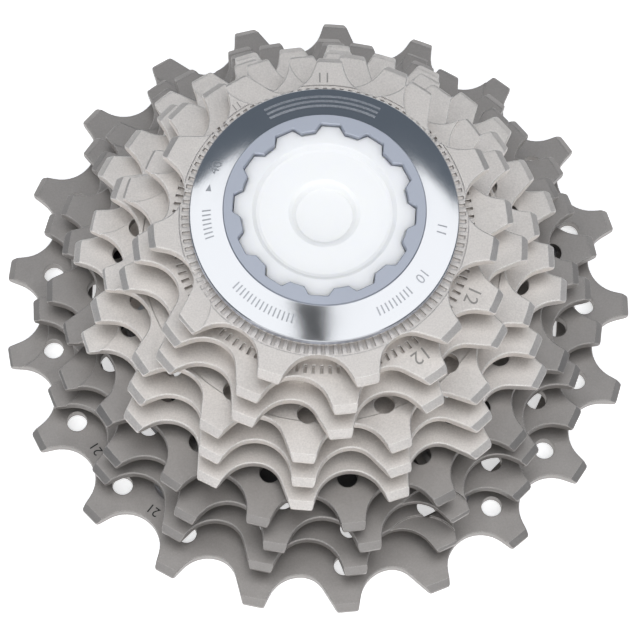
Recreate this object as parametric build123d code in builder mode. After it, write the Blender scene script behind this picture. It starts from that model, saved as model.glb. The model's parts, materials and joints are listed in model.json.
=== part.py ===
from build123d import *
from math import acos, atan2, cos, degrees, hypot, pi, radians, sin
import os

# Ten-speed road cassette, 11 to 21 teeth. It stands on its back face: the origin is on the axis
# at the rear, and +Z points along the axis to the lock ring. Millimetres.

# ---------------------------------------------------------------- driving dimensions
chain_pitch = 12.7
plate = 1.6                    # thickness of every sprocket
gap = 2.35                     # space between two sprockets, filled by a spacer or a carrier
step = plate + gap
sizes = (21, 19, 18, 17, 16, 15, 14, 13, 12, 11)
first_tooth = {21: 5, 19: 16, 18: 4.5, 17: 6, 16: 22, 15: 5.5, 14: 12, 13: 2, 12: 10.5, 11: 26.5}
seat_depth = 3.9               # from the pitch circle down to the bottom of a tooth gap
tip_half_width = 1.45
tip_corner = 0.35
edge_break = 0.12
front_bevel = (0.9, 0.85)      # radial width and depth of the bevel across the front of a tip
rear_bevel = (0.5, 0.25)
round_gap = 4.7                # gap radius on the upright side of a tooth
lean_gap = 3.5                 # gap radius on the leaning side of a tooth

bore_r = 17.35                 # splined bore that fits the wheel's freehub body
tab_r = 16.3
tab_width = 4.8
key_width = 2.6                # the one narrow tab that sets the sprockets' timing
tab_count = 9
spacer_r = 20.6
hole_r = 1.4

# teeth in each sprocket, by number, that lean towards the clockwise side
leaning = {
    21: (5, 6, 7, 15, 16, 17),
    19: (4, 5, 6, 12, 13),
    18: (3, 4, 9, 10),
    17: (2, 3, 8, 9),
    16: (1, 2, 5, 6, 9, 10, 11, 13, 14),
    15: (1, 2, 4, 5, 8, 9, 10, 12, 13),
    14: (0, 1, 3, 4, 6, 8, 9, 10, 12),
    13: (0, 2, 3, 5, 6, 8, 9, 10, 12),
    12: (0, 1, 3, 4, 6, 7, 8, 10),
    11: (1, 3, 4, 6, 9),
}
# gaps after these teeth carry a shift ramp, a shallow scoop in the front face
ramps = {
    21: (2, 6, 10),
    19: (2, 5, 9, 14),
    18: (2, 6, 9, 14),
    17: (1, 5, 8),
    16: (2, 4, 7),
    15: (1, 4, 6),
    14: (1, 3, 6),
    13: (1, 3, 5),
    12: (0, 2, 4),
    11: (0, 2, 5),
}
ramp_r = 5.6
ramp_depth = 0.5

# the five largest sprockets are rings with inward lugs, riveted to two carriers
arm_count = 5
large_arm = 20                 # angle of the first arm of the large carrier
small_arm = 56
ring_inner = {21: 33.6, 19: 31.5, 18: 29.2, 17: 26.6, 16: 24.9}
rivet_circle = {21: 32.3, 19: 28.2, 18: 28.2, 17: 24.0, 16: 24.0}
hole_inset = {21: 1.3, 19: 1.35, 18: 2.1, 17: 2.25, 16: 1.65, 15: 1.65, 14: 1.65}
solid_tooth = 17               # the one tooth of the largest sprocket without a hole under it
lug_half = 2.9
hub_r = 20.4
web_inner, web_outer = 24.4, 29.9
arm_width = 7.0
tail_width = 5.6
rivet_r = 1.25
rivet_head_r = 1.9
rivet_sink = 0.65
rivet_dome = 0.45
rivet_slack = 0.03

# collars and ribs of the smallest sprockets
collar_r = {12: 20.1, 11: 18.0}
lip_r = 15.6
lip_height = 1.2
rib_band = {12: (18.9, 20.0), 11: (17.2, 18.6)}
rib_count = {12: 112, 11: 104}
rib_share = {12: 0.35, 11: 0.5}  # how much of each rib's pitch is groove
rib_depth = 0.6
step_r = 18.95                 # the smallest sprocket's face is a little lower inside this radius
step_depth = 0.2
recess_r = 24.1
recess_depth = 0.15

# lock ring
thread_r = 15.25
thread_root_r = 14.62
thread_pitch = 25.4 / 24
thread_start = 31.0
ring_seat = 37.75
ring_r = 17.6
rim_top = 39.15
band_inner_r = 13.25
band_top = 40.6
band_crown = 0.12              # how far the polished band bulges above a straight cone
ring_top = 40.9
socket_floor = 33.5
land_r = 10.95
notch_r = 11.9
notch_count = 12
notch_mouth = 3.6
notch_floor = 2.5
notch_corner = 0.3
socket_break = 0.12

# packing core
tube_r = 16.0
tube_wall = 1.4
tube_top = 28.4
neck_r = 10.5
rim_r = 10.87
rim_height = 1.8
core_top = 40.1
lug_slack = 0.12               # the core's lugs fill the notches with this much play
dish_r = 9.2
dish_floor = 39.4
dimple_r = 4.2
dimple_depth = 1.0


def level(teeth):
    return step * sizes.index(teeth)


def pitch_r(teeth):
    return chain_pitch / 2 / sin(pi / teeth)


def root_r(teeth):
    return pitch_r(teeth) - seat_depth


def tip_r(teeth):
    return pitch_r(teeth) + min(1.1, 0.6 + 0.12 * (teeth - 11))


def polar(radius, angle):
    return (radius * cos(angle), radius * sin(angle))


def gap_side(teeth, seat):
    """Half of a tooth gap, measured from its middle: the arc's end angle and the tip's angle."""
    root, tip = root_r(teeth), tip_r(teeth)
    corner_angle = pi / teeth - tip_half_width / tip
    across = tip * sin(corner_angle)
    height = tip * cos(corner_angle) - root - seat
    distance = hypot(across, height)
    if distance > seat:
        turn = atan2(across, -height) - acos(seat / distance)
        return turn, corner_angle
    centre = root + seat
    turn = acos((seat**2 + centre**2 - tip**2) / (2 * seat * centre))
    return turn, atan2(seat * sin(turn), centre - seat * cos(turn))


def gap_point(teeth, seat, turn, middle):
    """A point of the gap's arc, turned from the bottom of the gap towards one side."""
    centre = root_r(teeth) + seat
    across, out = seat * sin(turn), centre - seat * cos(turn)
    return polar(hypot(across, out), middle + atan2(across, out))


def toothed_outline(teeth):
    """The flat outline of a sprocket. A leaning tooth has a smaller seat on its clockwise side."""
    tooth_angle = 2 * pi / teeth
    tip = tip_r(teeth)
    with BuildSketch() as outline:
        with BuildLine():
            for tooth in range(teeth):
                middle = radians(first_tooth[teeth]) + (tooth + 0.5) * tooth_angle
                ahead = lean_gap if (tooth + 1) % teeth in leaning[teeth] else round_gap
                turn_0, side_0 = gap_side(teeth, round_gap)
                turn_1, side_1 = gap_side(teeth, ahead)
                start = gap_point(teeth, round_gap, -turn_0, middle)
                end = gap_point(teeth, ahead, turn_1, middle)
                bottom = polar(root_r(teeth), middle)
                Line(polar(tip, middle - side_0), start)
                ThreePointArc(start, gap_point(teeth, round_gap, -turn_0 / 2, middle), bottom)
                ThreePointArc(bottom, gap_point(teeth, ahead, turn_1 / 2, middle), end)
                Line(end, polar(tip, middle + side_1))
                next_side = gap_side(teeth, round_gap)[1]
                tip_end = middle + tooth_angle - next_side
                Line(polar(tip, middle + side_1), polar(tip, tip_end))
        make_face()
        corners = [v for v in outline.vertices() if abs(hypot(v.X, v.Y) - tip) < 0.01]
        fillet(corners, tip_corner)
    return outline.sketch


def tip_bevels(teeth):
    """Two cones that cut the front and the back of every tooth tip."""
    low, tip = level(teeth), tip_r(teeth)
    high = low + plate
    beyond = 1.0
    for face, sign, (width, depth) in ((high, 1, front_bevel), (low, -1, rear_bevel)):
        drop = depth * (width + beyond) / width
        with BuildSketch(Plane.XZ) as wedge:
            with BuildLine():
                Polyline(
                    (tip - width, face),
                    (tip + beyond, face - sign * drop),
                    (tip + beyond, face + sign * beyond),
                    (tip - width, face + sign * beyond),
                    close=True,
                )
            make_face()
        revolve(wedge.sketch, axis=Axis.Z, mode=Mode.SUBTRACT)


def cut_ramps(teeth):
    """Shift ramps: a shallow round scoop in the front face, beside a tooth gap."""
    high = level(teeth) + plate
    for tooth in ramps[teeth]:
        angle = first_tooth[teeth] + (tooth + 0.72) * 360 / teeth
        with BuildSketch(Plane.XY.offset(high - ramp_depth)) as scoop:
            with PolarLocations(root_r(teeth) + round_gap, 1, start_angle=angle):
                Circle(ramp_r)
        extrude(scoop.sketch, amount=ramp_depth + 0.5, mode=Mode.SUBTRACT)


def cut_holes(teeth, inset):
    """A small lightening hole under each tooth."""
    missing = solid_tooth if teeth == 21 else None
    with BuildSketch(Plane.XY.offset(level(teeth))) as holes:
        for tooth in range(teeth):
            if tooth != missing:
                angle = radians(first_tooth[teeth] + tooth * 360 / teeth)
                with Locations(polar(root_r(teeth) - inset, angle)):
                    Circle(hole_r)
    extrude(holes.sketch, amount=plate, mode=Mode.SUBTRACT)


def cut_bore(bottom, top):
    """The splined bore: nine inward tabs, one of them narrow."""
    with BuildSketch(Plane.XY.offset(bottom)) as bore:
        Circle(bore_r)
        with PolarLocations(tab_r + 1.5, tab_count, start_angle=90):
            Rectangle(3.0, key_width, mode=Mode.SUBTRACT)
        with PolarLocations(tab_r + 1.5, tab_count - 1, 90 + 360 / tab_count, 320, rotate=True):
            Rectangle(3.0, tab_width, mode=Mode.SUBTRACT)
    extrude(bore.sketch, amount=top - bottom, mode=Mode.SUBTRACT)


def cut_rivet_holes(radius, first, bottom, top, sink=None):
    """Holes for a circle of rivets, with a countersink at the back or at the front."""
    with PolarLocations(radius, arm_count, start_angle=first):
        with Locations((0, 0, bottom)):
            Cylinder(
                rivet_r + rivet_slack,
                top - bottom,
                align=(Align.CENTER, Align.CENTER, Align.MIN),
                mode=Mode.SUBTRACT,
            )
        if sink == "back":
            with Locations((0, 0, bottom + rivet_sink / 2)):
                Cone(rivet_head_r + rivet_slack, rivet_r + rivet_slack, rivet_sink, mode=Mode.SUBTRACT)
        if sink == "front":
            with Locations((0, 0, top - rivet_sink / 2)):
                Cone(rivet_r + rivet_slack, rivet_head_r + rivet_slack, rivet_sink, mode=Mode.SUBTRACT)


def add_rivets(radius, first, bottom, top, front):
    """A circle of rivets, flush at the back, and flush or domed at the front."""
    with PolarLocations(radius, arm_count, start_angle=first):
        with Locations((0, 0, bottom)):
            Cylinder(rivet_r, top - bottom, align=(Align.CENTER, Align.CENTER, Align.MIN))
        with Locations((0, 0, bottom + rivet_sink / 2)):
            Cone(rivet_head_r, rivet_r, rivet_sink)
        if front == "flush":
            with Locations((0, 0, top - rivet_sink / 2)):
                Cone(rivet_r, rivet_head_r, rivet_sink)
        if front == "domed":
            with Locations((0, 0, top + rivet_dome / 2)):
                Cone(rivet_head_r, rivet_r, rivet_dome)


def add_disc(radius, bottom, top):
    with Locations((0, 0, bottom)):
        Cylinder(radius, top - bottom, align=(Align.CENTER, Align.CENTER, Align.MIN))


def add_arms(first, reach, width, bottom, top):
    """Straight arms with round ends, from inside the hub out to their reach."""
    with BuildSketch(Plane.XY.offset(bottom)) as arms:
        start = hub_r - 2
        length = reach - width / 2 - start
        with PolarLocations(start + length / 2, arm_count, start_angle=first):
            Rectangle(length, width)
        with PolarLocations(reach - width / 2, arm_count, start_angle=first):
            Circle(width / 2)
    extrude(arms.sketch, amount=top - bottom)


def cut_ribs(teeth):
    """Fine radial grooves pressed into the front face around the collar or lock ring."""
    inner, outer = rib_band[teeth]
    high = level(teeth) + plate
    groove = pi * (inner + outer) / rib_count[teeth] * rib_share[teeth]
    with BuildSketch(Plane.XY.offset(high - rib_depth)) as grooves:
        with PolarLocations((inner + outer) / 2, rib_count[teeth]):
            Rectangle(outer - inner, groove)
    extrude(grooves.sketch, amount=rib_depth + 0.2, mode=Mode.SUBTRACT)


def draw_notches(reach, mouth, floor):
    """Twelve tapering notches or lugs, wide at the ring's lands and narrow at their reach."""
    with PolarLocations(0, notch_count):
        Polygon(
            (land_r - 1, mouth / 2 + 0.6),
            (land_r, mouth / 2),
            (reach, floor / 2),
            (reach, -floor / 2),
            (land_r, -mouth / 2),
            (land_r - 1, -mouth / 2 - 0.6),
            align=None,
        )


def save(part, name):
    part.part.label = name
    export_step(part.part, f"parts/{name}.step")


os.makedirs("parts", exist_ok=True)

# ---------------------------------------------------------------- riveted sprocket rings
for teeth in (21, 19, 18, 17, 16):
    first = large_arm if teeth > 17 else small_arm
    low = level(teeth)
    with BuildPart() as ring:
        with BuildSketch(Plane.XY.offset(low)):
            add(toothed_outline(teeth))
            Circle(ring_inner[teeth], mode=Mode.SUBTRACT)
            lug_length = ring_inner[teeth] + 0.6 - rivet_circle[teeth]
            with PolarLocations(rivet_circle[teeth] + lug_length / 2, arm_count, start_angle=first):
                Rectangle(lug_length, 2 * lug_half)
            with PolarLocations(rivet_circle[teeth], arm_count, start_angle=first):
                Circle(lug_half)
        extrude(amount=plate)
        front = ring.faces().sort_by(Axis.Z)[-1]
        chamfer(front.outer_wire().edges(), edge_break)
        tip_bevels(teeth)
        cut_ramps(teeth)
        cut_holes(teeth, hole_inset[teeth])
        cut_rivet_holes(rivet_circle[teeth], first, low, low + plate, None if teeth in (18, 16) else "back")
    save(ring, f"sprocket_{teeth}t")

# ---------------------------------------------------------------- loose sprockets
for teeth in (15, 14, 13, 12, 11):
    low, high = level(teeth), level(teeth) + plate
    with BuildPart() as cog:
        with BuildSketch(Plane.XY.offset(low)):
            add(toothed_outline(teeth))
        extrude(amount=plate)
        front = cog.faces().sort_by(Axis.Z)[-1]
        chamfer(front.outer_wire().edges(), edge_break)
        tip_bevels(teeth)
        cut_ramps(teeth)
        if teeth in hole_inset:
            cut_holes(teeth, hole_inset[teeth])
        if teeth == 14:
            with BuildSketch(Plane.XY.offset(high - recess_depth)):
                Circle(recess_r)
                Circle(spacer_r + 0.1, mode=Mode.SUBTRACT)
            extrude(amount=recess_depth, mode=Mode.SUBTRACT)
        if teeth in collar_r:
            add_disc(collar_r[teeth], low - gap, low)
            cut_ribs(teeth)
        if teeth == 11:
            with BuildSketch(Plane.XY.offset(high - step_depth)):
                Circle(step_r)
                Circle(rib_band[11][0] + 0.1, mode=Mode.SUBTRACT)
            extrude(amount=step_depth, mode=Mode.SUBTRACT)
            cut_bore(low - gap, high - lip_height)
            with Locations((0, 0, high)):
                Hole(lip_r, depth=lip_height)
        elif teeth == 12:
            cut_bore(low - gap, high)
        else:
            cut_bore(low, high)
    save(cog, f"sprocket_{teeth}t")

# ---------------------------------------------------------------- carriers
front_18 = level(18) + plate
back_19, front_19 = level(19), level(19) + plate
web_back, web_front = front_19, level(18)

with BuildPart() as large_carrier:
    add_disc(web_outer, web_back, web_front)
    with Locations((0, 0, web_back)):
        Cylinder(
            web_inner,
            web_front - web_back,
            align=(Align.CENTER, Align.CENTER, Align.MIN),
            mode=Mode.SUBTRACT,
        )
    add_arms(large_arm, rivet_circle[19] - lug_half - 0.2, arm_width, plate, web_front)
    add_arms(large_arm, rivet_circle[21] + tail_width / 2, tail_width, plate, back_19)
    add_disc(hub_r, 0, front_18)
    cut_bore(0, front_18)
    cut_rivet_holes(rivet_circle[21], large_arm, plate, back_19, "front")
    cut_rivet_holes(rivet_circle[19], large_arm, web_back, web_front)
save(large_carrier, "large_carrier")

with BuildPart() as small_carrier:
    add_arms(small_arm, rivet_circle[17] + arm_width / 2, arm_width, level(17) + plate, level(16))
    add_disc(hub_r, level(17), level(16) + plate)
    cut_bore(level(17), level(16) + plate)
    cut_rivet_holes(rivet_circle[17], small_arm, level(17) + plate, level(16))
save(small_carrier, "small_carrier")

with BuildPart() as rear_rivets:
    add_rivets(rivet_circle[21], large_arm, 0, back_19, "flush")
save(rear_rivets, "rivets_21t")

with BuildPart() as middle_rivets:
    add_rivets(rivet_circle[19], large_arm, back_19, front_18, "domed")
save(middle_rivets, "rivets_19t_18t")

with BuildPart() as small_rivets:
    add_rivets(rivet_circle[17], small_arm, level(17), level(16) + plate, "domed")
save(small_rivets, "rivets_17t_16t")

# ---------------------------------------------------------------- spacers
spacers = {"spacer_18t_17t": 18, "spacer_16t_15t": 16, "spacer_15t_14t": 15, "spacer_14t_13t": 14}
for name, below in spacers.items():
    bottom = level(below) + plate
    with BuildPart() as spacer:
        add_disc(spacer_r, bottom, bottom + gap)
        chamfer(spacer.edges().filter_by(GeomType.CIRCLE), 0.2)
        cut_bore(bottom, bottom + gap)
        with BuildSketch(Plane.XY.offset(bottom)):
            with PolarLocations(spacer_r - 1.6, tab_count, start_angle=110):
                Circle(0.8)
        extrude(amount=gap, mode=Mode.SUBTRACT)
    save(spacer, name)

# ---------------------------------------------------------------- washer and lock ring
washer_bottom = level(11) + plate
with BuildPart() as washer:
    with BuildSketch(Plane.XY.offset(washer_bottom)):
        Circle(ring_r - 0.35)
        Circle(lip_r, mode=Mode.SUBTRACT)
    extrude(amount=ring_seat - washer_bottom)
    chamfer(washer.edges().filter_by(GeomType.CIRCLE), 0.1)
save(washer, "lock_ring_washer")

with BuildPart() as lock_ring:
    turns = int((ring_seat - 0.6 - thread_start) / thread_pitch)
    thread_points = []
    for turn in range(turns):
        crest = thread_start + 0.4 + turn * thread_pitch
        thread_points.append((thread_root_r, crest))
        thread_points.append((thread_r, crest + 0.4 * thread_pitch))
        thread_points.append((thread_r, crest + 0.6 * thread_pitch))
    relief = thread_start + 0.4 + turns * thread_pitch
    band_outer_r = ring_r - 0.12
    slope = atan2(band_top - rim_top, band_outer_r - band_inner_r)
    crown_point = (
        (band_outer_r + band_inner_r) / 2 + band_crown * sin(slope),
        (rim_top + band_top) / 2 + band_crown * cos(slope),
    )
    with BuildSketch(Plane.XZ):
        with BuildLine():
            ThreePointArc((band_outer_r, rim_top), crown_point, (band_inner_r, band_top))
            Polyline(
                (band_inner_r, band_top),
                (band_inner_r - 0.12, ring_top),
                (land_r, ring_top),
                (land_r, socket_floor),
                (band_inner_r - 0.05, socket_floor - 0.8),
                (band_inner_r - 0.05, thread_start),
                (thread_root_r, thread_start),
                *thread_points,
                (thread_root_r, relief),
                (thread_root_r, ring_seat),
                (ring_r - 0.25, ring_seat),
                (ring_r, ring_seat + 0.25),
                (ring_r, rim_top - 0.12),
                (band_outer_r, rim_top),
            )
        make_face()
    revolve(axis=Axis.Z)
    with BuildSketch(Plane.XY.offset(socket_floor - 1)) as notches:
        draw_notches(notch_r, notch_mouth, notch_floor)
        fillet([v for v in notches.vertices() if hypot(v.X, v.Y) > notch_r - 0.1], notch_corner)
    extrude(notches.sketch, amount=ring_top - socket_floor + 2, mode=Mode.SUBTRACT)
    top = lock_ring.faces().sort_by(Axis.Z)[-1]
    chamfer(top.inner_wires()[0].edges(), socket_break)
save(lock_ring, "lock_ring")

# ---------------------------------------------------------------- packing core
with BuildPart() as packing_core:
    with BuildSketch(Plane.XZ):
        with BuildLine():
            Polyline(
                (tube_r - tube_wall, 0),
                (tube_r, 0),
                (tube_r, tube_top - 0.8),
                (tube_r - 0.8, tube_top),
                (neck_r, tube_top),
                (neck_r, core_top - rim_height),
                (rim_r, core_top - rim_height + 0.3),
                (rim_r, core_top - 0.2),
                (rim_r - 0.2, core_top),
                (dish_r + 0.25, core_top),
                (dish_r, core_top - 0.25),
                (dish_r - 0.3, dish_floor + 0.1),
                (dish_r - 0.7, dish_floor),
                (dimple_r + 0.5, dish_floor),
                (dimple_r, dish_floor - 0.3),
                (dimple_r - 0.5, dish_floor - dimple_depth),
                (0, dish_floor - dimple_depth),
                (0, 36.6),
                (neck_r - tube_wall, 36.6),
                (neck_r - tube_wall, tube_top - tube_wall),
                (tube_r - tube_wall, tube_top - tube_wall),
                close=True,
            )
        make_face()
    revolve(axis=Axis.Z)
    with BuildSketch(Plane.XY.offset(socket_floor + 1)) as lugs:
        draw_notches(notch_r - lug_slack, notch_mouth - 2 * lug_slack, notch_floor - 2 * lug_slack)
        Circle(land_r - 0.7, mode=Mode.SUBTRACT)
    extrude(lugs.sketch, amount=core_top - socket_floor - 1)
save(packing_core, "packing_core")
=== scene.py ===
import json
from math import cos, radians, sin

import bmesh
import bpy
from mathutils import Matrix, Vector


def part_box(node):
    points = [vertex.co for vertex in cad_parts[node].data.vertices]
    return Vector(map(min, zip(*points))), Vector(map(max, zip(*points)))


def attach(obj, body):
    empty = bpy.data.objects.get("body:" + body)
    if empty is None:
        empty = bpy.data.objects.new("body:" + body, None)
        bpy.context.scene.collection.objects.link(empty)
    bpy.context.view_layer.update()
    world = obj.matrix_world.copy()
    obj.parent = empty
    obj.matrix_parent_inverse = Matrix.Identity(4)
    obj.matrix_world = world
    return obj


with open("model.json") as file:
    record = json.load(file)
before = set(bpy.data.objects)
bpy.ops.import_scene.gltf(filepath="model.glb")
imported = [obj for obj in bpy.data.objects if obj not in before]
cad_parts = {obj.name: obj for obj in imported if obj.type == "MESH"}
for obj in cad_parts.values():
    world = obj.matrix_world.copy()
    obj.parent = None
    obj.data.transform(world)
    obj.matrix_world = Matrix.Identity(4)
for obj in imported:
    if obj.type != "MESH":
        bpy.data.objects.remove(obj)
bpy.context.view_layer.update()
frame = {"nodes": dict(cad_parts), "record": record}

nodes = frame["nodes"]
MM = 0.001

# the lock ring's conical band: its outer and inner edges, and its bulge above a straight cone
band_outer_r, band_outer_z = 17.48 * MM, 39.15 * MM
band_inner_r, band_inner_z = 13.25 * MM, 40.6 * MM
band_crown = 0.12 * MM
band_slope = (band_inner_z - band_outer_z) / (band_outer_r - band_inner_r)
band_middle = (band_outer_r + band_inner_r) / 2

# radius of the edge rounding in the shading; it also sets the width of the painted edge highlight
edge_round_radius = 0.16 * MM
lift = 0.02 * MM                 # how far a mark sits above its face, so that it shows


# ---------------------------------------------------------------- material helpers
class Tree:
    """A node material: short calls to add nodes and join them."""

    def __init__(self, name):
        self.material = bpy.data.materials.new(name)
        self.material.use_nodes = True
        self.tree = self.material.node_tree
        self.shader = self.tree.nodes["Principled BSDF"]
        self.place = self.add("ShaderNodeTexCoord").outputs["Object"]

    def add(self, kind, **settings):
        node = self.tree.nodes.new(kind)
        for key, value in settings.items():
            setattr(node, key, value)
        return node

    def join(self, source, target):
        self.tree.links.new(source, target)

    def feed(self, value, target):
        if isinstance(value, (int, float)):
            target.default_value = value
        else:
            self.join(value, target)

    def noise(self, scale, detail=4.0, roughness=0.6, place=None):
        node = self.add("ShaderNodeTexNoise")
        node.inputs["Scale"].default_value = scale
        node.inputs["Detail"].default_value = detail
        node.inputs["Roughness"].default_value = roughness
        self.join(place or self.place, node.inputs["Vector"])
        return node.outputs["Fac"]

    def maths(self, operation, first, second=0.0, clamp=False):
        node = self.add("ShaderNodeMath", operation=operation, use_clamp=clamp)
        self.feed(first, node.inputs[0])
        self.feed(second, node.inputs[1])
        return node.outputs[0]

    def span(self, value, low, high, new_low, new_high):
        node = self.add("ShaderNodeMapRange")
        self.join(value, node.inputs["Value"])
        for key, number in zip(("From Min", "From Max", "To Min", "To Max"), (low, high, new_low, new_high)):
            node.inputs[key].default_value = number
        return node.outputs["Result"]

    def colours(self, value, *stops):
        node = self.add("ShaderNodeValToRGB")
        ramp = node.color_ramp
        while len(ramp.elements) < len(stops):
            ramp.elements.new(0.5)
        for element, (position, colour) in zip(ramp.elements, stops):
            element.position = position
            element.color = (*colour, 1.0)
        self.join(value, node.inputs["Fac"])
        return node.outputs["Color"]

    def bump(self, height, strength, distance, under=None):
        node = self.add("ShaderNodeBump")
        node.inputs["Strength"].default_value = strength
        node.inputs["Distance"].default_value = distance
        self.join(height, node.inputs["Height"])
        if under:
            self.join(under, node.inputs["Normal"])
        return node.outputs["Normal"]

    def set(self, **values):
        for key, value in values.items():
            socket = self.shader.inputs[key.replace("_", " ")]
            if isinstance(value, bpy.types.NodeSocket):
                self.join(value, socket)
            else:
                socket.default_value = value


def shade(colour, factor):
    return tuple(min(1.0, part * factor) for part in colour)


def blasted_metal(name, colour, roughness, grain, depth, speckle):
    """Bead-blasted sheet: fine grain, faint slow blotches, uneven gloss, rounded edges in the shading, and a
    painted highlight that lightens edges and creases.
    """
    m = Tree(name)
    blotch = m.noise(140, 4, 0.6)
    fine = m.noise(grain, 3, 0.65)
    finer = m.noise(grain * 2.1, 2, 0.6)
    tone = m.maths("ADD", m.maths("MULTIPLY", blotch, 0.25), m.maths("MULTIPLY", fine, 0.75))
    edge_rounding = m.add("ShaderNodeBevel", samples=4)
    edge_rounding.inputs["Radius"].default_value = edge_round_radius
    agree = m.add("ShaderNodeVectorMath", operation="DOT_PRODUCT")
    m.join(edge_rounding.outputs["Normal"], agree.inputs[0])
    m.join(m.add("ShaderNodeNewGeometry").outputs["Normal"], agree.inputs[1])
    # painted highlight: where the rounded shading normal turns from the face normal, at edges and creases,
    # the colour is pushed towards the top stop at twice the metal's colour
    painted_edge_highlight = m.span(agree.outputs["Value"], 0.80, 0.98, 0.36, 0.0)
    base = m.colours(
        m.maths("ADD", tone, painted_edge_highlight),
        (0.34, shade(colour, 1 - speckle)),
        (0.50, colour),
        (0.66, shade(colour, 1 + speckle)),
        (0.86, shade(colour, 2.0)),
    )
    coarse = m.bump(fine, 0.6, depth, edge_rounding.outputs["Normal"])
    m.set(
        Base_Color=base,
        Metallic=1.0,
        Roughness=m.span(m.noise(260, 4, 0.7), 0.3, 0.7, roughness - 0.05, roughness + 0.05),
        Normal=m.bump(finer, 0.4, depth * 0.6, coarse),
    )
    return m.material


def resin(name, colour):
    """Moulded resin with short glass fibres that show as pale flecks."""
    m = Tree(name)
    flecks = m.noise(2600, 2, 0.5)
    cloud = m.noise(150, 4, 0.6)
    tone = m.maths("ADD", m.maths("MULTIPLY", flecks, 0.5), m.maths("MULTIPLY", cloud, 0.5))
    m.set(
        Base_Color=m.colours(tone, (0.35, shade(colour, 0.7)), (0.55, colour), (0.72, shade(colour, 1.8))),
        Roughness=m.span(cloud, 0.3, 0.7, 0.5, 0.7),
        Normal=m.bump(flecks, 0.4, 0.00003),
    )
    return m.material


def lock_ring_metal(name):
    """Anodised alloy: a polished band outside, a frosted ring and tool socket inside."""
    m = Tree(name)
    split = m.add("ShaderNodeSeparateXYZ")
    m.join(m.place, split.inputs[0])
    flat = m.add("ShaderNodeCombineXYZ")
    m.join(split.outputs["X"], flat.inputs["X"])
    m.join(split.outputs["Y"], flat.inputs["Y"])
    length = m.add("ShaderNodeVectorMath", operation="LENGTH")
    m.join(flat.outputs[0], length.inputs[0])
    radius = length.outputs["Value"]
    outer = m.span(radius, band_inner_r - 0.05 * MM, band_inner_r + 0.05 * MM, 0.0, 1.0)
    above = m.span(split.outputs["Z"], band_outer_z - 0.25 * MM, band_outer_z - 0.15 * MM, 0.0, 1.0)
    band = m.maths("MULTIPLY", outer, above)
    turning = m.add("ShaderNodeTexNoise", noise_dimensions="1D")
    m.join(m.maths("MULTIPLY", radius, 30000), turning.inputs["W"])
    turning.inputs["Scale"].default_value = 1.0
    frost = m.noise(2400, 3, 0.6)
    rough = m.span(band, 0, 1, 0.5, 0.15)
    uneven = m.span(m.noise(160, 4, 0.6), 0.3, 0.7, -0.03, 0.03)
    depth = m.maths("ADD", m.maths("MULTIPLY", turning.outputs["Fac"], band), frost)
    m.set(
        Base_Color=m.colours(band, (0.0, (0.47, 0.495, 0.56)), (1.0, (0.60, 0.605, 0.62))),
        Metallic=1.0,
        Roughness=m.maths("ADD", rough, uneven),
        Normal=m.bump(depth, 0.12, 0.00001),
    )
    return m.material


def core_plastic(name):
    """Natural white polyethylene: lets light in, waxy, with faint flow marks."""
    m = Tree(name)
    cloud = m.noise(70, 4, 0.55)
    m.set(
        Base_Color=m.colours(cloud, (0.3, (0.965, 0.96, 0.93)), (0.7, (0.99, 0.99, 0.97))),
        Roughness=m.span(cloud, 0.3, 0.7, 0.32, 0.44),
        Subsurface_Weight=0.5,
        Subsurface_Radius=(0.006, 0.006, 0.005),
        Subsurface_Scale=1.0,
        Normal=m.bump(m.noise(500, 3, 0.5), 0.15, 0.00005),
    )
    return m.material


def turned_metal(name, colour, roughness):
    """Small turned parts: rivets and the washer."""
    m = Tree(name)
    marks = m.noise(1800, 3, 0.6)
    m.set(
        Base_Color=m.colours(marks, (0.35, shade(colour, 0.85)), (0.65, shade(colour, 1.1))),
        Metallic=1.0,
        Roughness=m.span(m.noise(400, 3, 0.6), 0.3, 0.7, roughness - 0.08, roughness + 0.08),
        Normal=m.bump(marks, 0.25, 0.00002),
    )
    return m.material


def pale_floor(name):
    """A white sheet with a painted pool of light: it glows round the part, though it is no lamp, and is
    painted greyer further out.
    """
    m = Tree(name)
    cloud = m.noise(6, 3, 0.5)
    distance = m.add("ShaderNodeVectorMath", operation="LENGTH")
    m.join(m.place, distance.inputs[0])
    # painted pool of light: 1 near the part, falling to 0 further out
    painted_glow_near_part = m.span(distance.outputs["Value"], 0.06, 0.16, 1.0, 0.0)
    white = m.colours(cloud, (0.3, (0.93, 0.93, 0.93)), (0.7, (0.95, 0.95, 0.95)))
    # painted light: the base colour is whiter near the part and greyer further out, and the sheet glows near
    # the part though it is no lamp
    m.set(
        Base_Color=m.colours(painted_glow_near_part, (0.0, (0.42, 0.42, 0.43)), (1.0, (0.94, 0.94, 0.94))),
        Emission_Color=white,
        Emission_Strength=m.maths("MULTIPLY", painted_glow_near_part, 0.6),
        Roughness=m.span(cloud, 0.3, 0.7, 0.75, 0.85),
        Normal=m.bump(m.noise(900, 2, 0.5), 0.05, 0.00005),
    )
    return m.material


def etched(name, colour, roughness):
    """Laser or stamped marks: dull, with a fine broken surface."""
    m = Tree(name)
    broken = m.noise(5000, 3, 0.6)
    m.set(
        Base_Color=m.colours(broken, (0.35, shade(colour, 0.85)), (0.65, shade(colour, 1.15))),
        Metallic=1.0,
        Roughness=m.span(broken, 0.3, 0.7, roughness - 0.06, roughness + 0.06),
        Normal=m.bump(broken, 0.3, 0.00001),
    )
    return m.material


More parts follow.
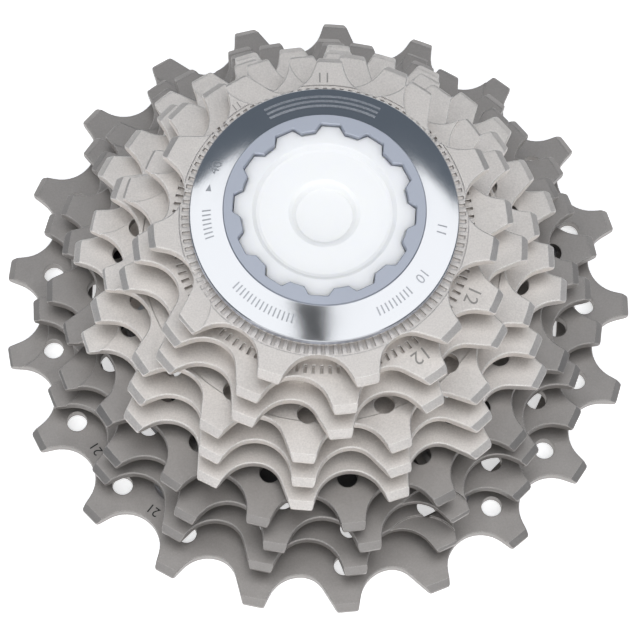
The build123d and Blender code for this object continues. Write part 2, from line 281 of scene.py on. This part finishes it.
finishes = {
    "titanium": blasted_metal("titanium", (0.305, 0.287, 0.273), 0.44, 4200, 0.00002, 0.06),
    "plated_steel": blasted_metal("plated_steel", (0.66, 0.622, 0.588), 0.46, 4200, 0.00003, 0.10),
    "anodised_carrier": blasted_metal("anodised_carrier", (0.13, 0.13, 0.135), 0.5, 2400, 0.00002, 0.10),
    "rivet_steel": turned_metal("rivet_steel", (0.45, 0.44, 0.43), 0.38),
    "spacer_resin": resin("spacer_resin", (0.06, 0.06, 0.065)),
    "washer_steel": turned_metal("washer_steel", (0.45, 0.44, 0.43), 0.4),
    "lock_ring_alloy": lock_ring_metal("lock_ring_alloy"),
    "core_plastic": core_plastic("core_plastic"),
}
for entry in frame["record"]["subparts"]:
    mesh = nodes[entry["node"]].data
    mesh.materials.clear()
    mesh.materials.append(finishes[entry["material_slot"]])

# ---------------------------------------------------------------- stamped, inked and etched marks

def on_face(radius, angle, height, turn):
    """Places flat marks on a sprocket's front face, turned about their own middle."""

    def place(across, up):
        x = across * cos(turn) - up * sin(turn)
        y = across * sin(turn) + up * cos(turn)
        return (radius * cos(angle) + x, radius * sin(angle) + y, height + lift)

    return place


def on_band(radius, angle):
    """Wraps marks round the lock ring's sloping band, with their tops outwards."""

    def place(across, up):
        r = radius + up / (1 + band_slope**2) ** 0.5
        turn = angle - across / radius
        off_middle = 2 * (r - band_middle) / (band_outer_r - band_inner_r)
        z = band_outer_z + (band_outer_r - r) * band_slope + band_crown * (1 - off_middle**2) + lift
        return (r * cos(turn), r * sin(turn), z)

    return place


def add_mark(name, mesh, place, body, material):
    for vertex in mesh.vertices:
        vertex.co = place(vertex.co.x, vertex.co.y)
    mesh.materials.clear()
    mesh.materials.append(material)
    piece = bpy.data.objects.new(name, mesh)
    bpy.context.scene.collection.objects.link(piece)
    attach(piece, body)


def digits(name, text, size):
    """The shapes of some digits as a flat mesh, centred on the origin."""
    letters = bpy.data.curves.new(name, "FONT")
    letters.body = text
    letters.size = size
    letters.align_x = "CENTER"
    letters.align_y = "CENTER"
    holder = bpy.data.objects.new(name + "_holder", letters)
    mesh = bpy.data.meshes.new_from_object(holder)
    bpy.data.objects.remove(holder)
    return mesh


def strip(name, boxes):
    """Small rectangles given as left, bottom, right and top, cut across so that they bend."""
    count = 40
    form = bmesh.new()
    for left, bottom, right, top in boxes:
        for i in range(count):
            a = left + (right - left) * i / count
            b = left + (right - left) * (i + 1) / count
            corners = ((a, bottom), (b, bottom), (b, top), (a, top))
            form.faces.new([form.verts.new((x, y, 0)) for x, y in corners])
    mesh = bpy.data.meshes.new(name)
    form.to_mesh(mesh)
    form.free()
    return mesh


def arrow(name, size):
    form = bmesh.new()
    corners = ((-size, -size * 0.8), (size, 0), (-size, size * 0.8))
    form.faces.new([form.verts.new((x, y, 0)) for x, y in corners])
    mesh = bpy.data.meshes.new(name)
    form.to_mesh(mesh)
    form.free()
    return mesh


face_12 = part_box("sprocket_12t")[1][2]
face_11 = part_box("sprocket_11t")[1][2]
face_21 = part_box("sprocket_21t")[1][2]
stamped = etched("stamped_marks", (0.34, 0.325, 0.31), 0.6)
inked = etched("inked_marks", (0.05, 0.05, 0.05), 0.6)
laser = etched("laser_marks", (0.36, 0.37, 0.39), 0.42)
frosted = etched("frosted_stripes", (0.62, 0.63, 0.66), 0.5)
face_marks = (
    ("mark_12_a", "12", 2.6, 21.5, -50.0, face_12, "cog_12t", stamped),
    ("mark_12_b", "12", 2.6, 21.5, -21.0, face_12, "cog_12t", stamped),
    ("mark_11_a", "11", 2.0, 19.9, 94.0, face_11, "cog_11t", stamped),
    ("mark_11_b", "11", 1.4, 19.5, 130.0, face_11, "cog_11t", stamped),
    ("mark_21_a", "21", 1.9, 37.0, -142.0, face_21, "large_unit", inked),
    ("mark_21_b", "21", 1.9, 37.2, -123.6, face_21, "large_unit", inked),
)
for name, text, size, radius, angle, face, body, material in face_marks:
    turn = radians(angle - 90)
    spot = on_face(radius * MM, radians(angle), face, turn)
    add_mark(name, digits(name, text, size * MM), spot, body, material)

for name, text, angle in (("mark_40", "40", 161), ("mark_11", "11", -5), ("mark_10", "10", -31)):
    spot = on_band(band_middle, radians(angle))
    add_mark(name, digits(name, text, 1.9 * MM), spot, "lock_ring", laser)
arrow_spot = on_band(band_middle, radians(172))
add_mark("mark_arrow", arrow("mark_arrow", 0.5 * MM), arrow_spot, "lock_ring", laser)


def bars(count, pitch, width, height):
    start = -pitch * (count - 1) / 2
    return [
        (start + i * pitch - width / 2, -height / 2, start + i * pitch + width / 2, height / 2)
        for i in range(count)
    ]


scale_pitch, scale_width, scale_height = 0.62 * MM, 0.2 * MM, 1.2 * MM
for name, angle, count in (("scale_left", -169, 7), ("scale_right", -50, 9), ("scale_low", -118, 15)):
    mesh = strip(name, bars(count, scale_pitch, scale_width, scale_height))
    add_mark(name, mesh, on_band(band_middle, radians(angle)), "lock_ring", laser)
stripe_half, stripe_width = 7.5, 0.4
stripes = [
    (-stripe_half * MM, low * MM, stripe_half * MM, (low + stripe_width) * MM) for low in (-0.9, -0.1, 0.7)
]
stripe_spot = on_band(band_middle, radians(95))
add_mark("stripes_top", strip("stripes_top", stripes), stripe_spot, "lock_ring", frosted)


# ---------------------------------------------------------------- floor, lights and camera
def add_floor():
    mesh = bpy.data.meshes.new("floor")
    form = bmesh.new()
    bmesh.ops.create_grid(form, x_segments=1, y_segments=1, size=1.5)
    form.to_mesh(mesh)
    form.free()
    floor = bpy.data.objects.new("floor", mesh)
    bpy.context.scene.collection.objects.link(floor)
    mesh.materials.append(pale_floor("floor"))


def aim(obj, place, target):
    obj.location = place
    obj.rotation_euler = (Vector(target) - Vector(place)).to_track_quat("-Z", "Y").to_euler()


def softbox(name, place, target, width, height, power, colour=(1, 1, 1)):
    light = bpy.data.lights.new(name, "AREA")
    light.shape = "RECTANGLE"
    light.size = width
    light.size_y = height
    light.energy = power
    light.color = colour
    lamp = bpy.data.objects.new(name, light)
    bpy.context.scene.collection.objects.link(lamp)
    aim(lamp, place, target)


def studio():
    """A softbox overhead that ends behind the part, two side wings and a low one in front."""
    world = bpy.data.worlds.new("studio")
    world.use_nodes = True
    background = world.node_tree.nodes["Background"]
    background.inputs["Color"].default_value = (0.70, 0.83, 1.0, 1.0)
    background.inputs["Strength"].default_value = 0.22
    bpy.context.scene.world = world
    height, reach = 0.80, 1.25
    glow = 4.15
    panels = (
        ("main", -reach, reach, -1.6, 0.34),
        ("left", -reach, -0.35, 0.34, 0.62),
        ("right", 0.35, reach, 0.34, 0.62),
    )
    for name, left, right, front, back in panels:
        middle = ((left + right) / 2, (front + back) / 2)
        wide, deep = right - left, back - front
        softbox(name, (*middle, height), (*middle, 0), wide, deep, glow * wide * deep)
    softbox("front", (0, -1.15, 0.34), (0, 0, 0.02), 1.8, 0.6, 2.8)


camera_tilt = 18.95             # degrees from straight above, towards -Y
camera_roll = 4.04
camera_distance = 0.478
camera_target = Vector((0.0004, -0.0074, 0.018))
camera_lens = 199


def add_camera():
    back = Vector((0, -sin(radians(camera_tilt)), cos(radians(camera_tilt))))
    right = Vector((1, 0, 0))
    up = back.cross(right)
    roll = radians(camera_roll)
    rolled_right = cos(roll) * right + sin(roll) * up
    rolled_up = -sin(roll) * right + cos(roll) * up
    turn = Matrix((rolled_right, rolled_up, back)).transposed().to_4x4()
    data = bpy.data.cameras.new("camera")
    data.lens = camera_lens
    data.sensor_width = 36
    data.clip_start = 0.01
    camera = bpy.data.objects.new("camera", data)
    camera.matrix_world = Matrix.Translation(camera_target + back * camera_distance) @ turn
    bpy.context.scene.collection.objects.link(camera)
    bpy.context.scene.camera = camera


def add_camera_card():
    """A dark card behind the camera, where the camera and its arm block the softbox."""
    mesh = bpy.data.meshes.new("camera_card")
    form = bmesh.new()
    bmesh.ops.create_grid(form, x_segments=1, y_segments=1, size=0.5)
    bmesh.ops.scale(form, vec=(0.09, 0.25, 1), verts=form.verts)
    form.to_mesh(mesh)
    form.free()
    card = bpy.data.objects.new("camera_card", mesh)
    card.matrix_world = bpy.context.scene.camera.matrix_world @ Matrix.Translation((-0.011, 0, 0.02))
    bpy.context.scene.collection.objects.link(card)
    mesh.materials.append(finishes["spacer_resin"])


add_floor()
studio()
add_camera()
add_camera_card()
bpy.context.scene.view_settings.view_transform = "Standard"
